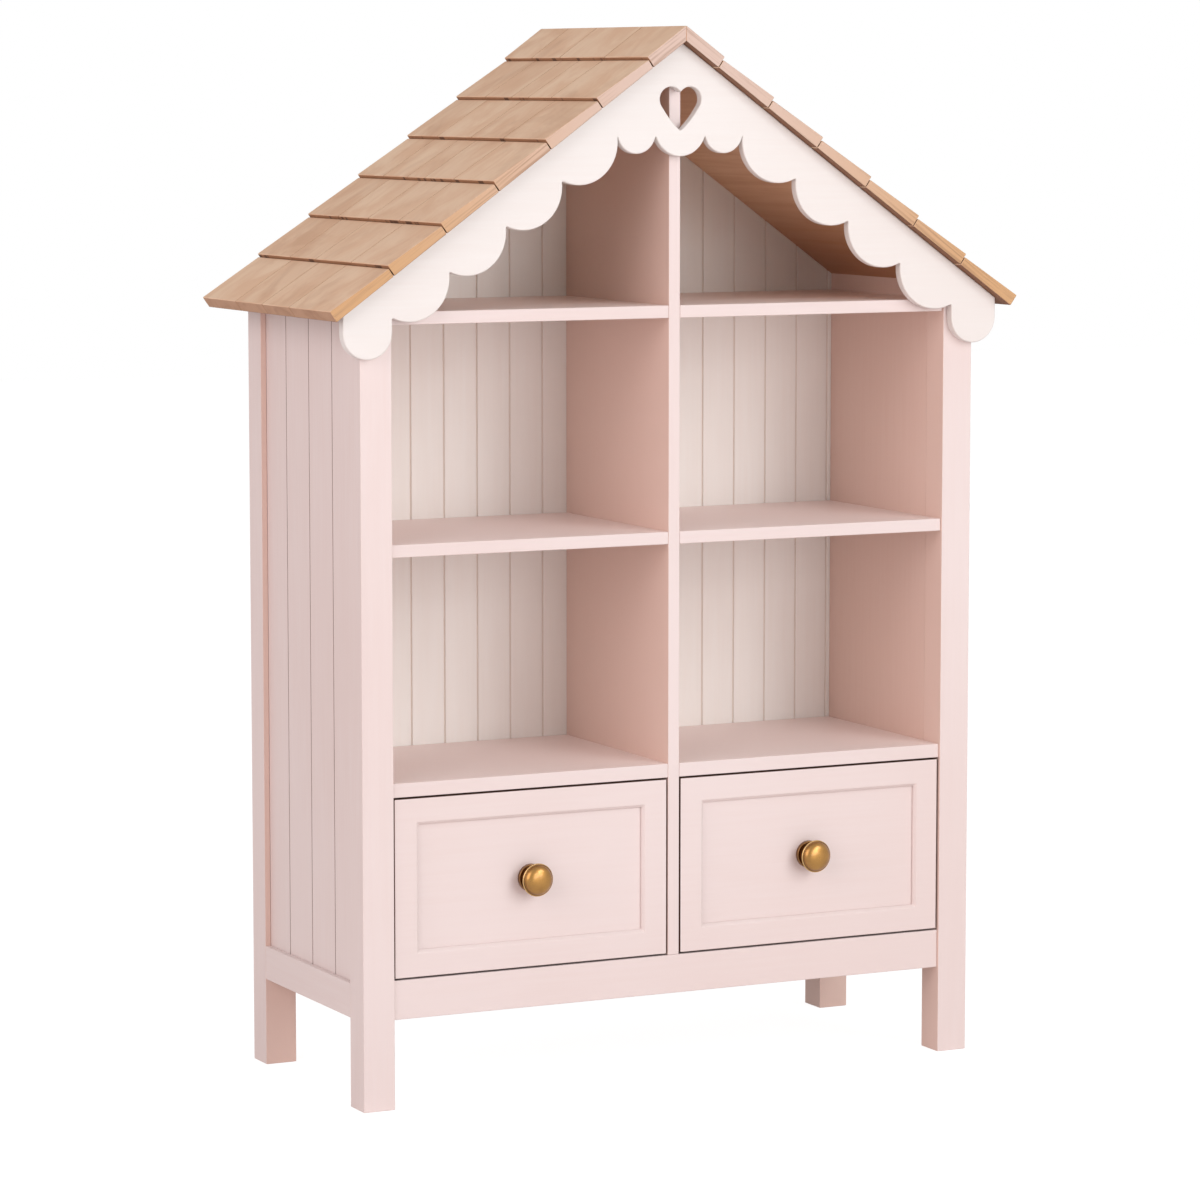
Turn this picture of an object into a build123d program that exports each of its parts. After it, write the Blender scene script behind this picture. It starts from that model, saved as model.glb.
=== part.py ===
from build123d import *
import math
import os

# House-shaped bookcase for a child's room: four square posts, beadboard sides,
# six open bays, two inset drawers and a shingled gable roof.
# Millimetres. +Z is up, +X is the viewer's right, the front faces -Y.
# The origin is on the floor, under the centre of the roof.

# Widths
bay_width = 406.5
divider_thickness = 17.0
post_size = 45.0

# Depths
carcass_depth = 384.0
shelf_front_inset = 3.5
back_panel_thickness = 9.0
back_panel_setback = 13.0

# Heights, from the floor up
leg_height = 120.0
apron_height = 52.8
drawer_opening_height = 243.7
lower_shelf_thickness = 19.0
middle_bay_height = 298.0
shelf_thickness = 17.0
upper_bay_height = 287.0
knee_wall_height = 23.5

# Side walls
side_rail_height = 46.5
side_liner_thickness = 18.0
beadboard_thickness = 9.0
beadboard_recess = 8.5
panel_housing_depth = 6.0
side_board_pitch = 78.5
upper_rail_cover = 30.0

# Rails behind the apron and across the back
apron_thickness = 20.0
rear_rail_thickness = 27.0
bottom_panel_thickness = 12.0
bottom_panel_drop = 12.0

# Routed V grooves of the boards
bead_width = 3.2
bead_depth = 2.4
back_board_pitch = 50.5
back_board_offset = 5.0

# Roof
roof_pitch = 35.5
eave_overhang = 54.5
gable_overhang = 30.0
roof_deck_thickness = 25.0
shingle_butt = 17.0
shingle_taper = 4.5
ridge_course_length = 71.0
eave_course_length = 100.0
course_count = 7
shingle_gap = 1.1
seam_fractions = [
    [0.27, 0.48, 0.69],
    [0.26, 0.46, 0.73],
    [0.24, 0.47, 0.70],
    [0.20, 0.38, 0.51, 0.72],
    [0.23, 0.48, 0.71],
    [0.22, 0.41, 0.53, 0.69],
    [0.20, 0.40, 0.71],
]

# Scalloped gable board. The angles are half of what each arc spans, in degrees.
gable_board_thickness = 14.0
gable_board_cusp_width = 47.0
gable_board_end = 29.5
end_lobe_radius = 35.0
end_lobe_drop = 26.5
scallop_count = 4
scallop_half_angle = 62.5
cusp_opening = 2.0
middle_lobe_half = 37.0
middle_lobe_half_angle = 73.0
small_scallop_width = 56.5
heart_lobe_radius = 16.5
heart_lobe_offset = 14.2
heart_height = 58.0
heart_bulge = 1.6
heart_above_lobe = 34.0

# Drawers
drawer_gap = 2.3
drawer_front_thickness = 19.0
drawer_border = 32.0
drawer_bevel = 4.0
drawer_panel_recess = 7.0
drawer_rebate = 8.0
drawer_side_thickness = 12.0
drawer_side_gap = 3.0
drawer_rear_clearance = 18.0
drawer_box_foot = 7.5
drawer_side_headroom = 20.0
drawer_back_headroom = 5.0
drawer_bottom_thickness = 6.0
drawer_bottom_lift = 10.0
drawer_bottom_housing = 5.0
runner_height = 15.0
runner_groove_depth = 6.0
runner_side_clearance = 0.6
runner_centre_rise = 103.0
drawer_travel = 200.0
stop_block_drop = 12.0
stop_block_depth = 12.0
stop_block_width = 30.0

# Knobs
knob_radius = 22.3
knob_rim_distance = 22.5
knob_rim_thickness = 2.0
knob_rim_round = 0.8
knob_projection = 33.5
knob_dome_step = 2.0
knob_flare_length = 9.0
knob_flare_step = 1.5
knob_neck_radius = 7.5
knob_neck_fillet = 3.0
knob_base_radius = 18.8
knob_base_thickness = 5.5
knob_base_round = 1.5
knob_screw_radius = 2.0
knob_screw_reach = 12.0
knob_screw_head_radius = 4.2
knob_screw_head_height = 2.8

# Shelf dowels and the two pilot holes for a wall strap
dowel_radius = 4.0
dowel_liner_reach = 14.0
dowel_shelf_reach = 15.0
dowel_edge_distance = 62.0
strap_hole_radius = 1.75
strap_hole_depth = 20.0
strap_hole_spacing = 600.0

# Fits
slip_fit = 0.2
running_fit = 0.3

# Derived places across the width
inner_x = bay_width + divider_thickness / 2
outer_x = inner_x + post_size
liner_x = inner_x + side_liner_thickness
bead_outer_x = outer_x - beadboard_recess
bead_inner_x = bead_outer_x - beadboard_thickness
eave_x = outer_x + eave_overhang
divider_x = divider_thickness / 2

# Derived places front to back
front_y = -carcass_depth / 2
rear_y = carcass_depth / 2
post_inner_y = rear_y - post_size
shelf_front_y = front_y + shelf_front_inset
back_rear_y = post_inner_y - back_panel_setback
back_y = back_rear_y - back_panel_thickness
roof_half_depth = rear_y + gable_overhang
apron_rear_y = shelf_front_y + apron_thickness

# Derived heights
apron_top = leg_height + apron_height
lower_shelf_bottom = apron_top + drawer_opening_height
lower_shelf_top = lower_shelf_bottom + lower_shelf_thickness
middle_shelf_bottom = lower_shelf_top + middle_bay_height
middle_shelf_top = middle_shelf_bottom + shelf_thickness
upper_shelf_bottom = middle_shelf_top + upper_bay_height
upper_shelf_top = upper_shelf_bottom + shelf_thickness
bottom_panel_top = apron_top - bottom_panel_drop

# The roof's top line runs through the lower corners of the courses
pitch = math.radians(roof_pitch)
roof_build_up = shingle_butt + roof_deck_thickness
ridge_height = (upper_shelf_top + knee_wall_height + inner_x * math.tan(pitch)
                + roof_build_up / math.cos(pitch))
slope_length = eave_x / math.cos(pitch)
course_exposure = (slope_length - ridge_course_length - eave_course_length) / (course_count - 2)


def block(x0, x1, y0, y1, z0, z1):
    """A box between three pairs of coordinates."""
    centre = Pos((x0 + x1) / 2, (y0 + y1) / 2, (z0 + z1) / 2)
    return centre * Box(x1 - x0, y1 - y0, z1 - z0)


def upright(face, y0, y1):
    """A face drawn as (x, z), extruded from y0 to y1."""
    return extrude(Plane.XZ.offset(-y1) * face, amount=y1 - y0, dir=(0, -1, 0))


def polygon(points):
    """A face through (x, z) points."""
    return make_face(Polyline(*points, close=True))


def mirrored(shape):
    """The same piece on the left."""
    return mirror(shape, about=Plane.YZ)


def roof_z(x, depth):
    """Height at x of the plane that lies depth under the roof's top line."""
    return ridge_height - abs(x) * math.tan(pitch) - depth / math.cos(pitch)


def slope_point(along, depth):
    """The (x, z) of a point on the right slope, measured along and under its top line."""
    x = along * math.cos(pitch) - depth * math.sin(pitch)
    z = ridge_height - along * math.sin(pitch) - depth * math.cos(pitch)
    return (x, z)


def under_roof(depth):
    """Everything under the plane that lies depth under the roof's top line."""
    reach = 2 * eave_x
    points = [(-reach, roof_z(reach, depth)), (0, roof_z(0, depth)), (reach, roof_z(reach, depth)),
              (reach, -reach), (-reach, -reach)]
    return upright(polygon(points), -2 * roof_half_depth, 2 * roof_half_depth)


def x_cylinder(radius, x0, x1, y, z):
    """A cylinder that runs along X."""
    return Pos((x0 + x1) / 2, y, z) * Rotation(0, 90, 0) * Cylinder(radius, x1 - x0)


def y_cylinder(radius, y0, y1, x, z):
    """A cylinder that runs along Y."""
    return Pos(x, (y0 + y1) / 2, z) * Rotation(90, 0, 0) * Cylinder(radius, y1 - y0)


under_shingles = under_roof(shingle_butt)
under_deck = under_roof(roof_build_up)
upper_rail_bottom = roof_z(outer_x, shingle_butt) - upper_rail_cover
bead_bottom = leg_height + side_rail_height - panel_housing_depth + slip_fit
bead_top = upper_rail_bottom + panel_housing_depth - slip_fit


def panel_housing():
    """The groove round the right side frame that holds the beadboard."""
    reach = post_inner_y + panel_housing_depth
    return block(bead_inner_x - slip_fit, bead_outer_x + slip_fit, -reach, reach,
                 bead_bottom - slip_fit, bead_top + slip_fit)


def right_post(y0, y1):
    post = block(inner_x, outer_x, y0, y1, 0, ridge_height) & under_shingles
    return post - panel_housing()


def right_side_rail(z0, z1):
    rail = block(liner_x, outer_x, -post_inner_y, post_inner_y, z0, z1) & under_shingles
    return rail - panel_housing()


def right_beadboard():
    """Four boards' worth of pink beadboard, with the routed face outside."""
    reach = post_inner_y + panel_housing_depth - slip_fit
    board = block(bead_inner_x, bead_outer_x, -reach, reach, bead_bottom, bead_top)
    groove_count = int((post_inner_y - bead_width) // side_board_pitch)
    for index in range(-groove_count, groove_count + 1):
        y = index * side_board_pitch
        points = [(bead_outer_x, y - bead_width / 2), (bead_outer_x, y + bead_width / 2),
                  (bead_outer_x - bead_depth, y)]
        cutter = extrude(Pos(0, 0, bead_bottom) * polygon(points), amount=bead_top - bead_bottom,
                         dir=(0, 0, 1))
        board -= cutter
    return board


def right_liner():
    """The smooth board that faces the bays, flush with the posts."""
    liner = block(inner_x, liner_x, -post_inner_y, back_y, leg_height, ridge_height) & under_deck
    for level in shelf_levels():
        for y in dowel_rows():
            liner -= x_cylinder(dowel_radius + slip_fit / 2, inner_x,
                                inner_x + dowel_liner_reach + slip_fit, y, level)
    return liner


def shelf_levels():
    """Height of the middle of each of the three shelf boards."""
    return [lower_shelf_bottom + lower_shelf_thickness / 2,
            middle_shelf_bottom + shelf_thickness / 2,
            upper_shelf_bottom + shelf_thickness / 2]


def dowel_rows():
    """Places of the dowels front to back."""
    return [-post_inner_y + dowel_edge_distance, back_y - dowel_edge_distance]


def right_shelf(z0, z1):
    shelf = block(divider_x, inner_x, shelf_front_y, back_y, z0, z1)
    for y in dowel_rows():
        for x0, x1 in ((divider_x, divider_x + dowel_shelf_reach + slip_fit),
                       (inner_x - dowel_shelf_reach - slip_fit, inner_x)):
            shelf -= x_cylinder(dowel_radius + slip_fit / 2, x0, x1, y, (z0 + z1) / 2)
    return shelf


def shelf_dowels():
    """Short dowels into the liners and long ones through the divider."""
    dowels = []
    for level in shelf_levels():
        for y in dowel_rows():
            through = divider_x + dowel_shelf_reach
            dowels.append(x_cylinder(dowel_radius, -through, through, y, level))
            outer = x_cylinder(dowel_radius, inner_x - dowel_shelf_reach,
                               inner_x + dowel_liner_reach, y, level)
            dowels.append(outer)
            dowels.append(mirrored(outer))
    return Compound(children=dowels)


def centre_divider():
    divider = block(-divider_x, divider_x, shelf_front_y, back_y, bottom_panel_top, ridge_height)
    divider = divider & under_deck
    divider -= block(-divider_x, divider_x, shelf_front_y, apron_rear_y, bottom_panel_top, apron_top)
    for level in shelf_levels():
        for y in dowel_rows():
            divider -= x_cylinder(dowel_radius + slip_fit / 2, -divider_x, divider_x, y, level)
    return divider


def back_panel():
    """The white beadboard sheet, house shaped, routed on its front."""
    panel = block(-liner_x, liner_x, back_y, back_rear_y, leg_height, ridge_height) & under_deck
    groove_count = int(inner_x // back_board_pitch)
    for index in range(-groove_count, groove_count + 1):
        x = index * back_board_pitch + back_board_offset
        points = [(x - bead_width / 2, back_y), (x + bead_width / 2, back_y),
                  (x, back_y + bead_depth)]
        cutter = extrude(Pos(0, 0, leg_height) * polygon(points), amount=ridge_height - leg_height,
                         dir=(0, 0, 1))
        panel -= cutter
    return panel


def front_apron():
    return block(-inner_x, inner_x, shelf_front_y, apron_rear_y, leg_height, apron_top)


def rear_rail(z0, z1):
    return block(-inner_x, inner_x, back_rear_y, back_rear_y + rear_rail_thickness, z0, z1)


def upper_rear_rail():
    """The rail behind the top shelf, with two pilot holes for a wall strap."""
    z0 = upper_shelf_top - apron_height
    rail = rear_rail(z0, upper_shelf_top)
    rear = back_rear_y + rear_rail_thickness
    for x in (-strap_hole_spacing / 2, strap_hole_spacing / 2):
        rail -= y_cylinder(strap_hole_radius, rear - strap_hole_depth, rear, x, (z0 + upper_shelf_top) / 2)
    return rail


def bottom_panel():
    z0 = bottom_panel_top - bottom_panel_thickness
    return block(-inner_x, inner_x, apron_rear_y, back_y, z0, bottom_panel_top)


def right_deck():
    """The board under one slope, notched round the posts and meeting its twin at the ridge."""
    points = [(0, roof_z(0, shingle_butt)), (liner_x, roof_z(liner_x, shingle_butt)),
              (liner_x, roof_z(liner_x, roof_build_up)), (0, roof_z(0, roof_build_up))]
    deck = upright(polygon(points), front_y, rear_y)
    for y0, y1 in ((front_y, -post_inner_y + running_fit), (post_inner_y - running_fit, rear_y)):
        deck -= block(inner_x - running_fit, outer_x, y0, y1, 0, ridge_height)
    return deck


def right_course(index):
    """One course of shingles; course 0 is at the eave and the last one meets the ridge."""
    steps_from_ridge = course_count - 1 - index
    low = slope_length if index == 0 else ridge_course_length + steps_from_ridge * course_exposure
    if steps_from_ridge == 0:
        points = [slope_point(low, 0), (0, ridge_height), (0, roof_z(0, shingle_butt)),
                  slope_point(low, shingle_butt)]
    else:
        high = ridge_course_length + (steps_from_ridge - 1) * course_exposure + shingle_gap
        points = [slope_point(low, 0), slope_point(high, shingle_taper),
                  slope_point(high, shingle_butt), slope_point(low, shingle_butt)]
    face = polygon(points)
    seams = [0.0] + seam_fractions[index % len(seam_fractions)] + [1.0]
    shingles = []
    for start, end in zip(seams[:-1], seams[1:]):
        y0 = -roof_half_depth + start * 2 * roof_half_depth
        y1 = -roof_half_depth + end * 2 * roof_half_depth
        if start > 0:
            y0 += shingle_gap / 2
        if end < 1:
            y1 -= shingle_gap / 2
        shingles.append(upright(face, y0, y1))
    return shingles


def course(index, side):
    """The left slope has its seams the other way round, so the two don't match."""
    shingles = right_course(index)
    if side == "left":
        shingles = [Rotation(0, 0, 180) * shingle for shingle in shingles]
    return Compound(children=shingles)


def arc_sag(chord, half_angle):
    """How far an arc that spans twice half_angle, in degrees, hangs below its chord."""
    return chord / 2 * math.tan(math.radians(half_angle) / 2)


def sagging_arc(start, end, half_angle):
    """An arc of twice half_angle that hangs below the chord from start to end."""
    middle_x = (start[0] + end[0]) / 2
    middle_z = (start[1] + end[1]) / 2
    chord = math.hypot(end[0] - start[0], end[1] - start[1])
    sag = arc_sag(chord, half_angle)
    normal_x = (end[1] - start[1]) / chord
    normal_z = -(end[0] - start[0]) / chord
    if normal_z > 0:
        normal_x, normal_z = -normal_x, -normal_z
    return ThreePointArc(start, (middle_x + sag * normal_x, middle_z + sag * normal_z), end)


def gable_cusps():
    """The points between scallops on the right, from the middle lobe out to the end lobe."""
    depth = shingle_butt + gable_board_cusp_width
    end_x = outer_x + gable_board_end
    first_x = middle_lobe_half + small_scallop_width
    last_x = end_x - 2 * end_lobe_radius
    first = (first_x + depth * math.sin(pitch)) / math.cos(pitch)
    last = (last_x + depth * math.sin(pitch)) / math.cos(pitch)
    step = (last - first) / scallop_count
    cusps = [slope_point(first + step * index, depth) for index in range(scallop_count + 1)]
    return [(middle_lobe_half, cusps[0][1])] + cusps


def right_gable_edge():
    """The lower edge of the gable board on the right, cusp by cusp."""
    cusps = gable_cusps()
    end_x = outer_x + gable_board_end
    end_top = roof_z(end_x, shingle_butt)
    lobe_z = end_top - end_lobe_drop
    last_x, last_z = cusps[-1]
    small_half_angle = 180 - roof_pitch - scallop_half_angle - cusp_opening
    edges = [sagging_arc(cusps[0], cusps[1], small_half_angle)]
    for start, end in zip(cusps[1:-1], cusps[2:]):
        edges.append(sagging_arc(start, end, scallop_half_angle))
    edges.append(Line((last_x, last_z), (last_x, lobe_z)))
    edges.append(ThreePointArc((last_x, lobe_z), (end_x - end_lobe_radius, lobe_z - end_lobe_radius),
                               (end_x, lobe_z)))
    edges.append(Line((end_x, lobe_z), (end_x, end_top)))
    return edges


def heart_face(tip_z):
    """A heart of two round lobes and two slightly bowed sides."""
    centre_z = tip_z + heart_height - heart_lobe_radius
    drop = centre_z - tip_z
    reach = math.hypot(heart_lobe_offset, drop)
    lean = math.atan2(heart_lobe_offset, drop)
    spread = math.asin(heart_lobe_radius / reach)
    tangent = math.sqrt(reach ** 2 - heart_lobe_radius ** 2)
    side_angle = lean + spread
    side_point = (tangent * math.sin(side_angle), tip_z + tangent * math.cos(side_angle))
    notch_z = centre_z + math.sqrt(heart_lobe_radius ** 2 - heart_lobe_offset ** 2)
    bow = (side_point[0] / 2 + heart_bulge * math.cos(side_angle),
           (tip_z + side_point[1]) / 2 - heart_bulge * math.sin(side_angle))
    crown = (heart_lobe_offset, centre_z + heart_lobe_radius)
    side = ThreePointArc((0, tip_z), bow, side_point)
    lobe = ThreePointArc(side_point, crown, (0, notch_z))
    right = [side, lobe]
    left = [mirror(edge, about=Plane.YZ) for edge in right]
    return make_face(right + left)


def gable_board():
    """The scalloped board across the gable, in one piece, with its heart cut-out."""
    end_x = outer_x + gable_board_end
    end_top = roof_z(end_x, shingle_butt)
    apex = (0, roof_z(0, shingle_butt))
    cusp_z = gable_cusps()[0][1]
    right = right_gable_edge()
    left = [mirror(edge, about=Plane.YZ) for edge in right]
    middle = sagging_arc((-middle_lobe_half, cusp_z), (middle_lobe_half, cusp_z),
                         middle_lobe_half_angle)
    top = [Line((end_x, end_top), apex), Line(apex, (-end_x, end_top))]
    face = make_face(right + left + [middle] + top)
    lobe_bottom = cusp_z - arc_sag(2 * middle_lobe_half, middle_lobe_half_angle)
    face -= heart_face(lobe_bottom + heart_above_lobe)
    return upright(face, front_y - gable_board_thickness, front_y)


# Drawer box of the right-hand drawer; the left one is its mirror image
front_x0 = divider_x + drawer_gap
front_x1 = inner_x - drawer_gap
front_z0 = apron_top + drawer_gap
front_z1 = lower_shelf_bottom - drawer_gap
drawer_centre_x = (front_x0 + front_x1) / 2
drawer_centre_z = (front_z0 + front_z1) / 2
front_rear_y = shelf_front_y + drawer_front_thickness
panel_face_y = shelf_front_y + drawer_panel_recess
box_x0 = divider_x + drawer_side_gap
box_x1 = inner_x - drawer_side_gap
box_rear_y = back_y - drawer_rear_clearance
box_back_y = box_rear_y - drawer_side_thickness
box_z0 = front_z0 + drawer_box_foot
side_z1 = lower_shelf_bottom - drawer_side_headroom
back_z1 = lower_shelf_bottom - drawer_back_headroom
runner_z = box_z0 + runner_centre_rise


def drawer_frame():
    """The front's border: a bevelled window with a rebate behind for the panel."""
    frame = block(front_x0, front_x1, shelf_front_y, front_rear_y, front_z0, front_z1)
    lip = drawer_border + drawer_bevel
    frame -= block(front_x0 + lip, front_x1 - lip, shelf_front_y, front_rear_y,
                   front_z0 + lip, front_z1 - lip)
    rebate = lip - drawer_rebate
    frame -= block(front_x0 + rebate, front_x1 - rebate, panel_face_y, front_rear_y,
                   front_z0 + rebate, front_z1 - rebate)
    wide = Rectangle(front_x1 - front_x0 - 2 * drawer_border, front_z1 - front_z0 - 2 * drawer_border)
    narrow = Rectangle(front_x1 - front_x0 - 2 * lip, front_z1 - front_z0 - 2 * lip)
    centre = Pos(drawer_centre_x, drawer_centre_z, 0)
    outer = Plane.XZ.offset(-shelf_front_y) * centre * wide
    inner = Plane.XZ.offset(-shelf_front_y - drawer_bevel) * centre * narrow
    return frame - loft([outer.face(), inner.face()], ruled=True)


def drawer_panel():
    """The flat field of the front, which sits in the frame's rebate."""
    inset = drawer_border + drawer_bevel - drawer_rebate + slip_fit
    panel = block(front_x0 + inset, front_x1 - inset, panel_face_y, front_rear_y,
                  front_z0 + inset, front_z1 - inset)
    return panel - y_cylinder(knob_screw_radius + slip_fit, panel_face_y, front_rear_y,
                              drawer_centre_x, drawer_centre_z)


def runner_groove(x0, x1):
    half = runner_height / 2 + running_fit
    return block(x0, x1, front_rear_y, box_rear_y, runner_z - half, runner_z + half)


def bottom_housing():
    """The space that the drawer's bottom slides into."""
    z0 = box_z0 + drawer_bottom_lift
    inset = drawer_side_thickness - drawer_bottom_housing
    return block(box_x0 + inset, box_x1 - inset, front_rear_y, box_back_y + drawer_bottom_housing,
                 z0 - slip_fit, z0 + drawer_bottom_thickness + slip_fit)


def drawer_side(x0, x1, groove_x0, groove_x1):
    side = block(x0, x1, front_rear_y, box_rear_y, box_z0, side_z1)
    return side - runner_groove(groove_x0, groove_x1) - bottom_housing()


def drawer_back():
    back = block(box_x0 + drawer_side_thickness, box_x1 - drawer_side_thickness,
                 box_back_y, box_rear_y, box_z0, back_z1)
    return back - bottom_housing()


def drawer_bottom():
    z0 = box_z0 + drawer_bottom_lift
    inset = drawer_side_thickness - drawer_bottom_housing + slip_fit
    return block(box_x0 + inset, box_x1 - inset, front_rear_y,
                 box_back_y + drawer_bottom_housing - slip_fit, z0, z0 + drawer_bottom_thickness)


def knob():
    """A turned brass knob; the profile is radius against distance from the drawer front."""
    base_edge = (knob_base_radius, knob_base_thickness - knob_base_round)
    base_top = (knob_base_radius - knob_base_round, knob_base_thickness)
    neck_foot = (knob_neck_radius + knob_neck_fillet, knob_base_thickness)
    neck_start = (knob_neck_radius, knob_base_thickness + knob_neck_fillet)
    neck_end = (knob_neck_radius, knob_rim_distance - knob_flare_length)
    flare_end = (knob_radius - knob_flare_step, knob_rim_distance - knob_flare_step)
    rim_back = (knob_radius, knob_rim_distance)
    rim_edge = (knob_radius, knob_rim_distance + knob_rim_thickness - knob_rim_round)
    rim_front = (knob_radius - knob_rim_round, knob_rim_distance + knob_rim_thickness)
    dome_edge = (knob_radius - knob_dome_step, knob_rim_distance + knob_rim_thickness)
    crown = (0, knob_projection)
    outline = [
        Line((0, 0), (knob_base_radius, 0)),
        Line((knob_base_radius, 0), base_edge),
        RadiusArc(base_edge, base_top, -knob_base_round),
        Line(base_top, neck_foot),
        RadiusArc(neck_foot, neck_start, knob_neck_fillet),
        Line(neck_start, neck_end),
        Spline(neck_end, flare_end, tangents=[(0, 1), (1, 0.35)]),
        Line(flare_end, rim_back),
        Line(rim_back, rim_edge),
        Line(rim_edge, rim_front),
        Line(rim_front, dome_edge),
        Spline(dome_edge, crown, tangents=[(-0.25, 1), (-1, 0)]),
        Line(crown, (0, 0)),
    ]
    turned = revolve(Plane.XZ * make_face(outline), axis=Axis.Z)
    turned = Pos(drawer_centre_x, panel_face_y, drawer_centre_z) * Rotation(90, 0, 0) * turned
    bore_end = panel_face_y - knob_screw_reach - slip_fit
    return turned - y_cylinder(knob_screw_radius + slip_fit / 2, bore_end, panel_face_y,
                               drawer_centre_x, drawer_centre_z)


def knob_screw():
    """A pan-head screw from inside the drawer, through the panel into the knob."""
    shank = y_cylinder(knob_screw_radius, panel_face_y - knob_screw_reach, front_rear_y,
                       drawer_centre_x, drawer_centre_z)
    head = y_cylinder(knob_screw_head_radius, front_rear_y, front_rear_y + knob_screw_head_height,
                      drawer_centre_x, drawer_centre_z)
    return shank + head


def drawer_runners():
    """Four hardwood strips that the grooved drawer sides run on."""
    reach = drawer_side_gap + runner_groove_depth - runner_side_clearance
    strips = []
    for x0, x1 in ((divider_x, divider_x + reach), (inner_x - reach, inner_x)):
        strip = block(x0, x1, front_rear_y + running_fit, back_y,
                      runner_z - runner_height / 2, runner_z + runner_height / 2)
        strips.append(strip)
        strips.append(mirrored(strip))
    return Compound(children=strips)


def drawer_stops():
    """A block under the shelf over each drawer, which the drawer's back meets when it is out."""
    y1 = box_back_y - drawer_travel - running_fit
    block_right = block(drawer_centre_x - stop_block_width / 2, drawer_centre_x + stop_block_width / 2,
                        y1 - stop_block_depth, y1, lower_shelf_bottom - stop_block_drop, lower_shelf_bottom)
    return Compound(children=[block_right, mirrored(block_right)])


def drawer_parts():
    """The right-hand drawer, piece by piece."""
    groove = runner_groove_depth
    return {
        "front_frame": drawer_frame(),
        "front_panel": drawer_panel(),
        "side_inner": drawer_side(box_x0, box_x0 + drawer_side_thickness, box_x0, box_x0 + groove),
        "side_outer": drawer_side(box_x1 - drawer_side_thickness, box_x1, box_x1 - groove, box_x1),
        "back": drawer_back(),
        "bottom": drawer_bottom(),
        "knob": knob(),
        "knob_screw": knob_screw(),
    }


def paired(nodes, name, right_piece):
    """Adds a right-hand piece and its mirror image."""
    nodes[name + "_right"] = right_piece
    nodes[name + "_left"] = mirrored(right_piece)


def build_nodes():
    nodes = {}
    paired(nodes, "post_front", right_post(front_y, -post_inner_y))
    paired(nodes, "post_rear", right_post(post_inner_y, rear_y))
    paired(nodes, "side_rail_lower", right_side_rail(leg_height, leg_height + side_rail_height))
    paired(nodes, "side_rail_upper", right_side_rail(upper_rail_bottom, ridge_height))
    paired(nodes, "side_beadboard", right_beadboard())
    paired(nodes, "side_liner", right_liner())
    nodes["front_apron"] = front_apron()
    nodes["rear_rail_lower"] = rear_rail(leg_height, apron_top)
    nodes["rear_rail_upper"] = upper_rear_rail()
    nodes["bottom_panel"] = bottom_panel()
    nodes["back_panel"] = back_panel()
    nodes["centre_divider"] = centre_divider()
    paired(nodes, "shelf_lower", right_shelf(lower_shelf_bottom, lower_shelf_top))
    paired(nodes, "shelf_middle", right_shelf(middle_shelf_bottom, middle_shelf_top))
    paired(nodes, "shelf_upper", right_shelf(upper_shelf_bottom, upper_shelf_top))
    nodes["shelf_dowels"] = shelf_dowels()
    paired(nodes, "roof_deck", right_deck())
    for index in range(course_count):
        for side in ("left", "right"):
            nodes[f"shingle_course_{index + 1}_{side}"] = course(index, side)
    nodes["gable_board"] = gable_board()
    nodes["drawer_runners"] = drawer_runners()
    nodes["drawer_stops"] = drawer_stops()
    for name, piece in drawer_parts().items():
        nodes["drawer_right_" + name] = piece
        nodes["drawer_left_" + name] = mirrored(piece)
    return nodes


os.makedirs("parts", exist_ok=True)
for node_name, node_shape in build_nodes().items():
    export_step(node_shape, os.path.join("parts", node_name + ".step"))
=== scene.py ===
import math

import bpy
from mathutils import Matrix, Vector


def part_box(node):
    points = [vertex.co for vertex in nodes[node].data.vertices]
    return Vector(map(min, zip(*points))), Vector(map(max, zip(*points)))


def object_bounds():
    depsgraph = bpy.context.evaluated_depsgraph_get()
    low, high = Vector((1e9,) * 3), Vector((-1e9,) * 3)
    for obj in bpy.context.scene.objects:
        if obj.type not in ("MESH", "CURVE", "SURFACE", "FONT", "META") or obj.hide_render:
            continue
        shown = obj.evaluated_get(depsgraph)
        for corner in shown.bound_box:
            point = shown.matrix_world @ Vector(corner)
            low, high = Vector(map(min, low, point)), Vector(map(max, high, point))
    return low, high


# Looks for the house-shaped bookcase: satin paint, stained shingles, aged brass,
# plain studio light and a pale floor. Lengths are metres.

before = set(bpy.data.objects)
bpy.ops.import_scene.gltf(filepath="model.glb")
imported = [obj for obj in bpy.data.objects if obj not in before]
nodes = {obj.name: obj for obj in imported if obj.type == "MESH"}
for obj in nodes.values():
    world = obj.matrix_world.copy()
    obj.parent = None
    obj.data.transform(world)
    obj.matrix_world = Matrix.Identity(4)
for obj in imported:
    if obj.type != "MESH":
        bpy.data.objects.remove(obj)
cad_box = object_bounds()

# Roof slope: "along" runs down the slope, "into" stands at a right angle to it
ROOF_PITCH = math.radians(35.5)
ROOF_COS = math.cos(ROOF_PITCH)
ROOF_SIN = math.sin(ROOF_PITCH)
ROOF_TOP = cad_box[1]
COURSE_COUNT = 7
ROW_TOLERANCE = 0.001
SHINGLE_ROWS = [(vertex.co.x * ROOF_COS - vertex.co.z * ROOF_SIN,
                 vertex.co.x * ROOF_SIN + vertex.co.z * ROOF_COS)
                for vertex in nodes["shingle_course_3_right"].data.vertices]
BUTT_ALONG = max(along for along, into in SHINGLE_ROWS)
BUTT_LOW = min(into for along, into in SHINGLE_ROWS if along > BUTT_ALONG - ROW_TOLERANCE)
BUTT_HEIGHT = max(into for along, into in SHINGLE_ROWS) - BUTT_LOW
EAVE_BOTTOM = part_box("shingle_course_1_right")[0].z
RIDGE_ALONG = -ROOF_TOP.z * ROOF_SIN
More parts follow.
